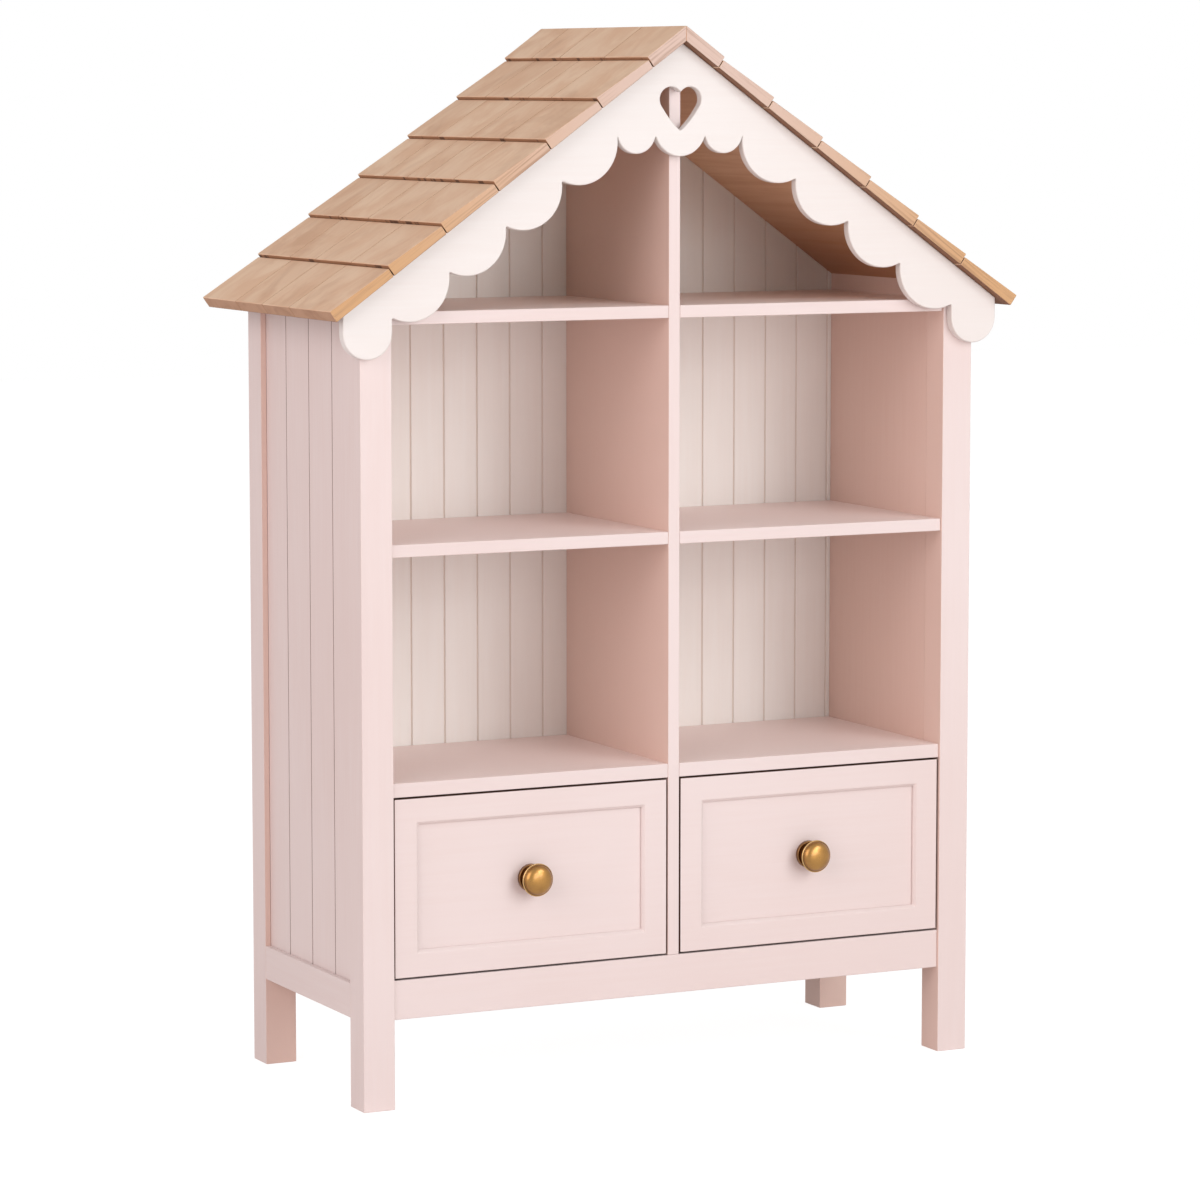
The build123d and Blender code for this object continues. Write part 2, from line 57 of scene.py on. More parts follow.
EAVE_ALONG = ROOF_TOP.x * ROOF_COS - EAVE_BOTTOM * ROOF_SIN

# Softened arrises
PAINT_ARRIS = 0.0011
BOARD_ARRIS = 0.0003
GABLE_ARRIS = 0.0020
SHINGLE_ARRIS = 0.0012
WOOD_ARRIS = 0.0007
METAL_ARRIS = 0.0003
ARRIS_SEGMENTS = 2
ARRIS_ANGLE = math.radians(35)
FLAT_ANGLE = math.radians(0.5)
LONG_ARRIS = 0.006
WELD_DISTANCE = 0.00001

# Ranges over which one tone passes into another
TURNED = (0.60, 0.85)                 # how far a face looks along an axis
GROOVE_START = (0.0003, 0.0010)       # depth below the face of a board
GROOVE_END = (0.0045, 0.0060)
EDGE_BAND = (-0.0022, -0.0010)        # place past the outline of a drawer front
UNDERSIDE = (0.66, 0.76)              # how far a shingle's face looks down
BUTT_FACE = (0.30, 0.50)
SIDE_FACE = (0.6, 0.9)                # how far a shingle's face looks along the ridge
GABLE_END_BAND = (ROOF_TOP.y - 0.0040, ROOF_TOP.y - 0.0030)
GABLE_END_FADE = (RIDGE_ALONG + 0.04, EAVE_ALONG - 0.06)
ROOF_BOARD_FADE = (RIDGE_ALONG + 0.28, EAVE_ALONG - 0.13)
BUTT_SHADE = (BUTT_LOW + 0.35 * BUTT_HEIGHT, BUTT_LOW + 0.65 * BUTT_HEIGHT)

# Colours as they look on screen, before the light
PINK = (0.907, 0.855, 0.848)
# painted shade: a darker, warmer pink for inner walls and inward faces, standing in for the
# shade inside the bays
PINK_SHADED_INNER = (0.905, 0.797, 0.754)
# painted light: shelf tops lighter than the fronts, standing in for light falling from above
PINK_LIT_TOP = (0.985, 0.925, 0.910)
PINK_WHITE = (0.918, 0.908, 0.900)
WARM_WHITE = (0.960, 0.952, 0.938)
MOTTLE_SHADE = (0.988, 0.976, 0.971)
# painted shade: dark lines in the grooves of the beadboard sides
SIDE_GROOVE_SHADE = (0.400, 0.290, 0.260)
# painted shade: faint darker lines in the grooves of the back panel
BACK_GROOVE_SHADE = (0.930, 0.890, 0.862)
# painted shade: dark brown on the drawer fronts' edges, standing in for the shadow in the gap
# around each drawer
DRAWER_GAP_SHADE = (0.380, 0.260, 0.212)
SHINGLE = (0.905, 0.757, 0.630)
SHINGLE_PALE = (0.945, 0.828, 0.712)
SHINGLE_DARK = (0.785, 0.618, 0.492)
# painted shade: butts that look down are darker than the shingle tops, the eave butts less so;
# the line colour is a painted shadow under each butt
SHINGLE_BUTT_SHADED = (0.640, 0.470, 0.345)
SHINGLE_BUTT_SHADOW_LINE = (0.300, 0.185, 0.115)
EAVE_BUTT_SHADED = (0.740, 0.590, 0.480)
# painted shade: darker brown on the shingles' undersides
SHINGLE_UNDER_SHADE = (0.500, 0.340, 0.240)
# painted shade: darker faces inside the seams between shingles
SHINGLE_SEAM_SHADE = (0.620, 0.470, 0.360)
GABLE_END_RIDGE = (0.840, 0.745, 0.695)
GABLE_END_EAVE = (0.810, 0.645, 0.470)
GABLE_END_LINE = (0.590, 0.440, 0.335)
ROOF_BOARD = (0.940, 0.775, 0.635)
ROOF_BOARD_DARK = (0.880, 0.700, 0.555)
# painted shade: the roof boards darken towards the eave
ROOF_BOARD_EAVE_SHADE = (0.770, 0.570, 0.430)
BARE_WOOD = (0.850, 0.730, 0.560)
BARE_WOOD_DARK = (0.760, 0.610, 0.430)
BRASS = (0.640, 0.468, 0.232)
BRASS_PATINA = (0.460, 0.310, 0.170)
BRASS_GROOVE = (0.300, 0.200, 0.110)
# painted highlight: a lighter ring along the rim of the knob's face
BRASS_RIM_HIGHLIGHT = (0.860, 0.720, 0.480)
STEEL = (0.720, 0.720, 0.730)
STEEL_WORN = (0.550, 0.550, 0.560)

# Axis that the grain follows
ACROSS, DEEP, UPRIGHT = range(3)

# Noise of paint and bare wood: scale across the grain and along it
PAINT_GRAIN = (60.0, 2.5)
WOOD_RINGS = (38.0, 1.6)
WOOD_PORES = (240.0, 6.0)

# Noise of paint and metal, the same in all directions
PAINT_MOTTLE = 2.2
PAINT_PEEL = 520.0
BRASS_CLOUDS = 60.0
METAL_MARKS = 900.0

# Noise of the roof wood: scale along the slope, along the ridge and into the roof
SHINGLE_GRAIN = (3.5, 95.0, 140.0)
SHINGLE_BLOTCH = (11.0, 17.0, 20.0)
GABLE_END_GRAIN = (6.0, 30.0, 320.0)
ROOF_BOARD_GRAIN = (70.0, 3.0, 70.0)
BUTT_SPOTS_ACROSS = 40.0
BUTT_SPOTS_ALONG = 9.0
STAIN_CLOUDS = 7.0
SHINGLE_SHIFT = 7.0                   # how far the noise moves between shingles

# How much of the darker colour each layer brings in at most
SHINGLE_GRAIN_SHARE = 0.22
SHINGLE_STAIN_SHARE = 0.48
SHINGLE_OWN_SHARE = 0.18
BUTT_BLOTCH_SHARE = 0.4
BUTT_SPOT_SHARE = 0.8
GABLE_END_LINE_SHARE = 0.60
PORE_SHARE = 0.5
BRASS_CLOUD_SHARE = 0.45
BRASS_REAR_SHARE = 0.80
STEEL_MARK_SHARE = 0.4

# Finish
PAINT_ROUGHNESS = (0.42, 0.50)
PAINT_IOR = 1.48
EDGE_ROUGHNESS = 0.95
SHINGLE_ROUGHNESS = (0.68, 0.80)
ROOF_BOARD_ROUGHNESS = (0.50, 0.62)
BARE_WOOD_ROUGHNESS = (0.52, 0.66)
BRASS_ROUGHNESS = (0.27, 0.38)
BRASS_COAT = 0.5
BRASS_COAT_ROUGHNESS = 0.12
STEEL_ROUGHNESS = (0.28, 0.40)

# Knob face: fine groove inside a painted highlight on the rim, as shares of the radius
KNOB_GROOVE = 0.94
KNOB_GROOVE_WIDTH = 0.035
KNOB_RIM_HIGHLIGHT = (0.955, 0.985)
KNOB_FACE_NEAR = 0.008                # depth at which groove and rim begin to fade
KNOB_FACE_FAR = 0.012
KNOB_REAR_INSET = 0.006

# Camera: place, aim and lens
CAMERA_PLACE = Vector((-2.8282, -5.6682, 1.3569))
CAMERA_YAW = -0.4603
CAMERA_PITCH = -0.1129
CAMERA_LENS = 138.2
SENSOR_WIDTH = 36.0

# Light
WHITE = (1.0, 1.0, 1.0)
WORLD_LEVEL = 0.43
WORLD_SEEN_LEVEL = 1.0
WORLD_COLOUR = (1.0, 0.965, 0.950)
KEY_ENERGY = 88.0
KEY_SIZE = 2.6
KEY_PLACE = Vector((2.6, -5.2, 3.6))
LEFT_ENERGY = 114.0
LEFT_SIZE = 4.0
LEFT_COLOUR = (1.0, 0.870, 0.850)
LEFT_PLACE = Vector((-4.6, -2.2, 2.6))
FRONT_ENERGY = 108.0
FRONT_SIZE = 3.0
FRONT_PLACE = Vector((1.3, -5.9, 1.25))
LIGHT_TARGET = Vector((0.0, 0.0, 0.75))

# Floor
FLOOR_HALF = 14.0
FLOOR_BOUNCE = (0.87, 0.78, 0.76)
FLOOR_SEEN = (0.30, 0.30, 0.30)
FLOOR_GLOW = 0.895
FLOOR_ROUGHNESS = 0.9

# Sockets of a Mix node for colours: three inputs and the output
MIX_FACTOR, MIX_A, MIX_B, MIX_RESULT = 0, 6, 7, 2


def linear(colour):
    """Screen colour to the shader's linear colour."""
    channels = []
    for value in colour:
        if value <= 0.04045:
            channels.append(value / 12.92)
        else:
            channels.append(((value + 0.055) / 1.055) ** 2.4)
    return (*channels, 1.0)


class Graph:
    """A short way to add and join shader nodes."""

    def __init__(self, name):
        self.material = bpy.data.materials.new(name)
        self.material.use_nodes = True
        self.tree = self.material.node_tree
        self.shader = self.tree.nodes["Principled BSDF"]

    def link(self, source, target):
        self.tree.links.new(source, target)

    def add(self, kind, **settings):
        node = self.tree.nodes.new(kind)
        for key, value in settings.items():
            setattr(node, key, value)
        return node

    def value(self, socket, value):
        """Sets a socket from a number or a vector, or links it from another socket."""
        if isinstance(value, bpy.types.NodeSocket):
            self.link(value, socket)
        else:
            socket.default_value = value

    def math(self, operation, a, b=0.0):
        node = self.add("ShaderNodeMath", operation=operation)
        self.value(node.inputs[0], a)
        self.value(node.inputs[1], b)
        return node.outputs[0]

    def blend(self, a, b, share):
        """The weighted sum of two numbers, with the share of the first."""
        return self.math("ADD", self.math("MULTIPLY", a, share),
                         self.math("MULTIPLY", b, 1.0 - share))

    def mix(self, factor, a, b):
        """Mixes two colours by a factor."""
        node = self.add("ShaderNodeMix", data_type="RGBA")
        self.value(node.inputs[MIX_FACTOR], factor)
        self.value(node.inputs[MIX_A], a)
        self.value(node.inputs[MIX_B], b)
        return node.outputs[MIX_RESULT]

    def spread(self, value, low, high, new_low=0.0, new_high=1.0):
        """Maps low to high onto new_low to new_high, smoothly and clamped."""
        node = self.add("ShaderNodeMapRange", interpolation_type="SMOOTHSTEP")
        self.value(node.inputs["Value"], value)
        node.inputs["From Min"].default_value = low
        node.inputs["From Max"].default_value = high
        node.inputs["To Min"].default_value = new_low
        node.inputs["To Max"].default_value = new_high
        return node.outputs["Result"]

    def combine(self, x, y, z):
        node = self.add("ShaderNodeCombineXYZ")
        for socket, value in zip(node.inputs, (x, y, z)):
            self.value(socket, value)
        return node.outputs[0]

    def split(self, vector):
        node = self.add("ShaderNodeSeparateXYZ")
        self.link(vector, node.inputs[0])
        return node.outputs

    def scaled(self, vector, scale):
        """A vector times a scale on each axis."""
        node = self.add("ShaderNodeVectorMath", operation="MULTIPLY")
        self.link(vector, node.inputs[0])
        node.inputs[1].default_value = scale
        return node.outputs[0]

    def drawn_out(self, vector, scales, grain_axis):
        """A vector times one scale across the grain and another along it."""
        across, along = scales
        scale = [across] * 3
        scale[grain_axis] = along
        return self.scaled(vector, scale)

    def noise(self, vector, scale=1.0, detail=3.0, roughness=0.55, distortion=0.0):
        node = self.add("ShaderNodeTexNoise")
        self.link(vector, node.inputs["Vector"])
        node.inputs["Scale"].default_value = scale
        node.inputs["Detail"].default_value = detail
        node.inputs["Roughness"].default_value = roughness
        node.inputs["Distortion"].default_value = distortion
        return node.outputs["Fac"]

    def place(self):
        """Place on the object at rest, in metres."""
        return self.add("ShaderNodeTexCoord").outputs["Object"]

    def facing(self):
        """The surface's own direction, in the object's axes."""
        return self.add("ShaderNodeTexCoord").outputs["Normal"]

    def island(self):
        """A random number for each separate solid."""
        return self.add("ShaderNodeNewGeometry").outputs["Random Per Island"]

    def bump(self, height, strength, distance):
        node = self.add("ShaderNodeBump")
        node.inputs["Strength"].default_value = strength
        node.inputs["Distance"].default_value = distance
        self.link(height, node.inputs["Height"])
        self.link(node.outputs[0], self.shader.inputs["Normal"])


def satin_paint(name, colour, grain_axis, mask=None, mask_colour=None, mask_roughness=None):
    """Satin paint: soft mottling, faint grain and orange peel, another colour in the mask, used
    for painted shade and painted light.
    """
    g = Graph(name)
    place = g.place()
    broad = g.noise(place, PAINT_MOTTLE, detail=2.0)
    grain = g.noise(g.drawn_out(place, PAINT_GRAIN, grain_axis), 3.0, detail=4.0, distortion=0.3)
    peel = g.noise(place, PAINT_PEEL, detail=1.0)
    deep = tuple(channel * shade for channel, shade in zip(colour, MOTTLE_SHADE))
    mottle = g.spread(g.blend(broad, grain, 0.75), 0.35, 0.65)
    tone = g.mix(mottle, linear(colour), linear(deep))
    roughness = g.spread(grain, 0.3, 0.7, *PAINT_ROUGHNESS)
    if mask is not None:
        covered = mask(g)
        tone = g.mix(covered, tone, linear(mask_colour))
        if mask_roughness is not None:
            roughness = g.math("MAXIMUM", roughness, g.math("MULTIPLY", covered, mask_roughness))
    g.value(g.shader.inputs["Base Color"], tone)
    g.value(g.shader.inputs["Roughness"], roughness)
    g.shader.inputs["IOR"].default_value = PAINT_IOR
    g.bump(g.blend(grain, peel, 0.6), strength=0.05, distance=0.0005)
    return g.material


def below_face(g, depth):
    """1 in a routed groove, from the depth below the board's face, and 0 on the face."""
    inside = g.spread(depth, *GROOVE_START)
    return g.math("MULTIPLY", inside, g.math("SUBTRACT", 1.0, g.spread(depth, *GROOVE_END)))


def side_groove_shade(g):
    """Grooves in the outer face of either beadboard side, where dark shade is painted in."""
    x, _, _ = g.split(g.place())
    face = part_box("side_beadboard_right")[1].x
    return below_face(g, g.math("SUBTRACT", face, g.math("ABSOLUTE", x)))


def back_groove_shade(g):
    """Grooves in the front face of the back panel, where a faint shade is painted in."""
    _, y, _ = g.split(g.place())
    return below_face(g, g.math("SUBTRACT", y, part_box("back_panel")[0].y))


def upright_shaded_faces(g):
    """The faces of an upright board that look to the left or right, which get the painted inner
    shade.
    """
    nx, _, _ = g.split(g.facing())
    return g.spread(g.math("ABSOLUTE", nx), *TURNED)


def inward_shaded_faces(g):
    """The faces of a post that look towards the middle of the bookcase, which get the painted
    inner shade.
    """
    x, y, _ = g.split(g.place())
    nx, ny, _ = g.split(g.facing())
    outward_x = g.math("MULTIPLY", nx, g.math("SIGN", x))
    outward_y = g.math("MULTIPLY", ny, g.math("SIGN", y))
    inward = g.math("MULTIPLY", g.math("MINIMUM", outward_x, outward_y), -1.0)
    return g.spread(inward, *TURNED)


def lit_top_faces(g):
    """The faces of a shelf that look up, which get the painted light of the lighter top pink."""
    _, _, nz = g.split(g.facing())
    return g.spread(nz, *TURNED)


def drawer_gap_shade_edges(g):
    """The outer edges of either drawer front, painted dark brown as shade so the gap around it
    reads dark.
    """
    low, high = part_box("drawer_right_front_frame")
    centre = (low + high) / 2
    half = (high - low) / 2
    x, _, z = g.split(g.place())
    across = g.math("ABSOLUTE", g.math("SUBTRACT", g.math("ABSOLUTE", x), centre.x))
    up = g.math("ABSOLUTE", g.math("SUBTRACT", z, centre.z))
    beyond = g.math("MAXIMUM", g.math("SUBTRACT", across, half.x),
                    g.math("SUBTRACT", up, half.z))
    _, ny, _ = g.split(g.facing())
    turned = g.math("SUBTRACT", 1.0, g.spread(g.math("ABSOLUTE", ny), *TURNED))
    return g.math("MULTIPLY", g.spread(beyond, *EDGE_BAND), turned)


def roof_axes(g):
    """Along the slope, along the ridge and into the roof, for either slope."""
    x, y, z = g.split(g.place())
    x = g.math("ABSOLUTE", x)
    along = g.math("SUBTRACT", g.math("MULTIPLY", x, ROOF_COS), g.math("MULTIPLY", z, ROOF_SIN))
    into = g.math("ADD", g.math("MULTIPLY", x, ROOF_SIN), g.math("MULTIPLY", z, ROOF_COS))
    return along, y, into


def roof_grid(g, axes, scales, shift=None):
    """The roof's axes, each times its scale, and shifted along the slope."""
    along, across, into = (g.math("MULTIPLY", axis, scale) for axis, scale in zip(axes, scales))
    if shift is not None:
        along = g.math("ADD", along, shift)
    return g.combine(along, across, into)


def shingle_wood(name, butt_shaded_colour, butt_shadow_line=None):
    """Stained wood, each shingle in its own tone, with painted shade on the butts, undersides
    and seam edges, a painted shadow line low on each butt, and grained gable ends.
    """
    g = Graph(name)
    axes = roof_axes(g)
    along, across, into = axes
    island = g.island()
    shift = g.math("MULTIPLY", island, SHINGLE_SHIFT)
    grain = g.noise(roof_grid(g, axes, SHINGLE_GRAIN, shift),
                    detail=6.0, roughness=0.60, distortion=0.3)
    blotch = g.noise(roof_grid(g, axes, SHINGLE_BLOTCH, shift), detail=4.0, distortion=0.8)
    dark = linear(SHINGLE_DARK)
    tone = g.mix(g.spread(blotch, 0.34, 0.66), linear(SHINGLE_PALE), linear(SHINGLE))
    tone = g.mix(g.spread(grain, 0.50, 0.80, 0.0, SHINGLE_GRAIN_SHARE), tone, dark)
    stain = g.noise(g.place(), STAIN_CLOUDS, detail=4.0, roughness=0.6, distortion=1.0)
    tone = g.mix(g.spread(stain, 0.46, 0.72, 0.0, SHINGLE_STAIN_SHARE), tone, dark)
    tone = g.mix(g.spread(island, 0.0, 1.0, 0.0, SHINGLE_OWN_SHARE), tone, dark)

    _, ny, nz = g.split(g.facing())
    down = g.math("MULTIPLY", nz, -1.0)
    under = g.spread(down, *UNDERSIDE)
    butt = g.math("MULTIPLY", g.spread(down, *BUTT_FACE), g.math("SUBTRACT", 1.0, under))
    butt_tone = g.mix(g.spread(blotch, 0.40, 0.70, 0.0, BUTT_BLOTCH_SHARE),
                      linear(butt_shaded_colour), linear(SHINGLE_UNDER_SHADE))
    # painted shadow: a dark line along the lower part of each butt, with random darker spots in
    # the same colour
    if butt_shadow_line is not None:
        shade = g.spread(into, *BUTT_SHADE, 1.0, 0.0)
        spots_place = g.combine(0.0, g.math("MULTIPLY", across, BUTT_SPOTS_ACROSS),
                                g.math("MULTIPLY", along, BUTT_SPOTS_ALONG))
        spots = g.spread(g.noise(spots_place, detail=2.0), 0.56, 0.62, 0.0, BUTT_SPOT_SHARE)
        butt_tone = g.mix(g.math("MAXIMUM", shade, spots), butt_tone, linear(butt_shadow_line))
    tone = g.mix(butt, tone, butt_tone)
    # painted shade on the faces that look down
    tone = g.mix(under, tone, linear(SHINGLE_UNDER_SHADE))

    side = g.spread(g.math("ABSOLUTE", ny), *SIDE_FACE)
    end = g.spread(g.math("ABSOLUTE", across), *GABLE_END_BAND)
    slope = g.spread(along, *GABLE_END_FADE)
    end_tone = g.mix(slope, linear(GABLE_END_RIDGE), linear(GABLE_END_EAVE))
    lines = g.noise(roof_grid(g, axes, GABLE_END_GRAIN, shift),
                    detail=4.0, roughness=0.6, distortion=0.4)
    end_tone = g.mix(g.spread(lines, 0.48, 0.72, 0.0, GABLE_END_LINE_SHARE),
                     end_tone, linear(GABLE_END_LINE))
    # painted shade on the seam faces between shingles; the gable ends keep their own grained
    # tone
    side_tone = g.mix(end, linear(SHINGLE_SEAM_SHADE), end_tone)
    tone = g.mix(side, tone, side_tone)
    g.value(g.shader.inputs["Base Color"], tone)
    g.value(g.shader.inputs["Roughness"], g.spread(grain, 0.3, 0.8, *SHINGLE_ROUGHNESS))
    g.bump(g.blend(grain, blotch, 0.7), strength=0.22, distance=0.0005)
    return g.material


def roof_board_wood():
    """Brown stained boards under the shingles, grain along the ridge, with painted shade
    darkening them towards the eave.
    """
    g = Graph("roof_board_wood")
    axes = roof_axes(g)
    along = axes[0]
    grain = g.noise(roof_grid(g, axes, ROOF_BOARD_GRAIN),
                    detail=6.0, roughness=0.6, distortion=0.8)
    tone = g.mix(g.spread(grain, 0.30, 0.72), linear(ROOF_BOARD), linear(ROOF_BOARD_DARK))
    # painted shade: darker towards the eave
    slope = g.spread(along, *ROOF_BOARD_FADE)
    tone = g.mix(slope, tone, linear(ROOF_BOARD_EAVE_SHADE))
    g.value(g.shader.inputs["Base Color"], tone)
    g.value(g.shader.inputs["Roughness"], g.spread(grain, 0.3, 0.7, *ROOF_BOARD_ROUGHNESS))
    g.bump(grain, strength=0.25, distance=0.001)
    return g.material


def bare_wood(name, grain_axis):
    """Planed pale wood with growth rings drawn out along one axis."""
    g = Graph(name)
    place = g.place()
    rings = g.noise(g.drawn_out(place, WOOD_RINGS, grain_axis), detail=3.0, distortion=1.6)
    pores = g.noise(g.drawn_out(place, WOOD_PORES, grain_axis), detail=4.0, roughness=0.7)
    tone = g.mix(g.spread(rings, 0.40, 0.62), linear(BARE_WOOD), linear(BARE_WOOD_DARK))
    tone = g.mix(g.spread(pores, 0.60, 0.85, 0.0, PORE_SHARE), tone, linear(BARE_WOOD_DARK))
    g.value(g.shader.inputs["Base Color"], tone)
    g.value(g.shader.inputs["Roughness"], g.spread(pores, 0.3, 0.7, *BARE_WOOD_ROUGHNESS))
    g.bump(pores, strength=0.25, distance=0.0006)
    return g.material


def aged_brass():
    """Golden brass, brown in the groove of the face and towards the drawer, softly clouded, with
    a painted highlight on the rim.
    """
    g = Graph("aged_brass")
    low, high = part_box("drawer_right_knob")
    centre = (low + high) / 2
    radius = (high.z - low.z) / 2
    place = g.place()
    x, y, z = g.split(place)
    side = g.math("DIVIDE", g.math("SUBTRACT", g.math("ABSOLUTE", x), centre.x), radius)
    up = g.math("DIVIDE", g.math("SUBTRACT", z, centre.z), radius)
    out = g.math("SQRT", g.math("ADD", g.math("MULTIPLY", side, side),
                                g.math("MULTIPLY", up, up)))
    from_groove = g.math("ABSOLUTE", g.math("SUBTRACT", out, KNOB_GROOVE))
    groove = g.spread(from_groove, 0.0, KNOB_GROOVE_WIDTH, 1.0, 0.0)
    head = g.spread(y, low.y + KNOB_FACE_NEAR, low.y + KNOB_FACE_FAR, 1.0, 0.0)
    groove = g.math("MULTIPLY", groove, head)
    cloud = g.noise(place, BRASS_CLOUDS, detail=5.0, roughness=0.6)
    fine = g.noise(place, METAL_MARKS, detail=2.0)
    patina = g.blend(cloud, fine, 0.7)
    brown = linear(BRASS_PATINA)
    tone = g.mix(g.spread(patina, 0.40, 0.70, 0.0, BRASS_CLOUD_SHARE), linear(BRASS), brown)
    rear = g.spread(y, low.y + KNOB_REAR_INSET, high.y - KNOB_REAR_INSET, 0.0, BRASS_REAR_SHARE)
    tone = g.mix(rear, tone, brown)
    tone = g.mix(groove, tone, linear(BRASS_GROOVE))
    rim_highlight = g.math("MULTIPLY", g.spread(out, *KNOB_RIM_HIGHLIGHT), head)
    tone = g.mix(rim_highlight, tone, linear(BRASS_RIM_HIGHLIGHT))
    g.value(g.shader.inputs["Base Color"], tone)
    g.shader.inputs["Metallic"].default_value = 1.0
    g.value(g.shader.inputs["Roughness"], g.spread(patina, 0.3, 0.7, *BRASS_ROUGHNESS))
    g.shader.inputs["Coat Weight"].default_value = BRASS_COAT
    g.shader.inputs["Coat Roughness"].default_value = BRASS_COAT_ROUGHNESS
    height = g.math("SUBTRACT", g.math("MULTIPLY", fine, 0.05), groove)
    g.bump(height, strength=0.6, distance=0.0006)
    return g.material


def zinc_steel():
    """Zinc-plated screw steel with fine turning marks."""
    g = Graph("zinc_steel")
    marks = g.noise(g.scaled(g.place(), (METAL_MARKS,) * 3), detail=2.0)
    tone = g.mix(g.spread(marks, 0.3, 0.7, 0.0, STEEL_MARK_SHARE),
                 linear(STEEL), linear(STEEL_WORN))
    g.value(g.shader.inputs["Base Color"], tone)
    g.shader.inputs["Metallic"].default_value = 1.0
    g.value(g.shader.inputs["Roughness"], g.spread(marks, 0.3, 0.7, *STEEL_ROUGHNESS))
    g.bump(marks, strength=0.1, distance=0.0003)
    return g.material


def make_even_shading():
    """Nodes that shade smoothly up to an arris's angle, and mark long arrises for the bevel."""
    group = bpy.data.node_groups.new("even_shading", "GeometryNodeTree")
    group.interface.new_socket("Geometry", in_out="INPUT", socket_type="NodeSocketGeometry")
    group.interface.new_socket("Geometry", in_out="OUTPUT", socket_type="NodeSocketGeometry")
    entry = group.nodes.new("NodeGroupInput")
    leave = group.nodes.new("NodeGroupOutput")
    angle = group.nodes.new("GeometryNodeInputMeshEdgeAngle")
    sharp = group.nodes.new("FunctionNodeCompare")
    sharp.operation = "GREATER_THAN"
    sharp.inputs[1].default_value = ARRIS_ANGLE
    group.links.new(angle.outputs["Unsigned Angle"], sharp.inputs[0])
    shade = group.nodes.new("GeometryNodeSetMeshNormal")
    shade.mode = "SHARPNESS"
    group.links.new(entry.outputs[0], shade.inputs["Mesh"])
    group.links.new(sharp.outputs[0], shade.inputs["Edge Sharpness"])

    ends = group.nodes.new("GeometryNodeInputMeshEdgeVertices")
    length = group.nodes.new("ShaderNodeVectorMath")
    length.operation = "DISTANCE"
    group.links.new(ends.outputs["Position 1"], length.inputs[0])
    group.links.new(ends.outputs["Position 2"], length.inputs[1])
    is_long = group.nodes.new("FunctionNodeCompare")
    is_long.operation = "GREATER_THAN"
    is_long.inputs[1].default_value = LONG_ARRIS
    group.links.new(length.outputs["Value"], is_long.inputs[0])
    eased = group.nodes.new("FunctionNodeBooleanMath")
    eased.operation = "AND"
    group.links.new(sharp.outputs[0], eased.inputs[0])
    group.links.new(is_long.outputs[0], eased.inputs[1])
    mark = group.nodes.new("GeometryNodeStoreNamedAttribute")
    mark.data_type = "FLOAT"
    mark.domain = "EDGE"
    mark.inputs["Name"].default_value = "bevel_weight_edge"
    group.links.new(shade.outputs[0], mark.inputs["Geometry"])
    group.links.new(eased.outputs[0], mark.inputs["Value"])
    group.links.new(mark.outputs[0], leave.inputs[0])
    return group


EVEN_SHADING = make_even_shading()


def soften(piece, width, long_only, rounded_mitres):
    """Eases the sharp arrises, as sanding and paint do, without touching the mesh itself."""
    weld = piece.modifiers.new("weld", "WELD")
    weld.merge_threshold = WELD_DISTANCE
    flats = piece.modifiers.new("flats", "DECIMATE")
    flats.decimate_type = "DISSOLVE"
    flats.angle_limit = FLAT_ANGLE
    shading = piece.modifiers.new("shading", "NODES")
    shading.node_group = EVEN_SHADING
    bevel = piece.modifiers.new("arris", "BEVEL")
    bevel.width = width
    bevel.segments = ARRIS_SEGMENTS
    bevel.limit_method = "WEIGHT" if long_only else "ANGLE"
    bevel.angle_limit = ARRIS_ANGLE
    bevel.use_clamp_overlap = False
    bevel.harden_normals = True
    if rounded_mitres:
        bevel.miter_outer = "MITER_ARC"


def dress(node, material, arris, long_only=False, rounded_mitres=False):
    """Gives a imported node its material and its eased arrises."""
    piece = nodes[node]
    piece.data.materials.clear()
    piece.data.materials.append(material)
    soften(piece, arris, long_only, rounded_mitres)


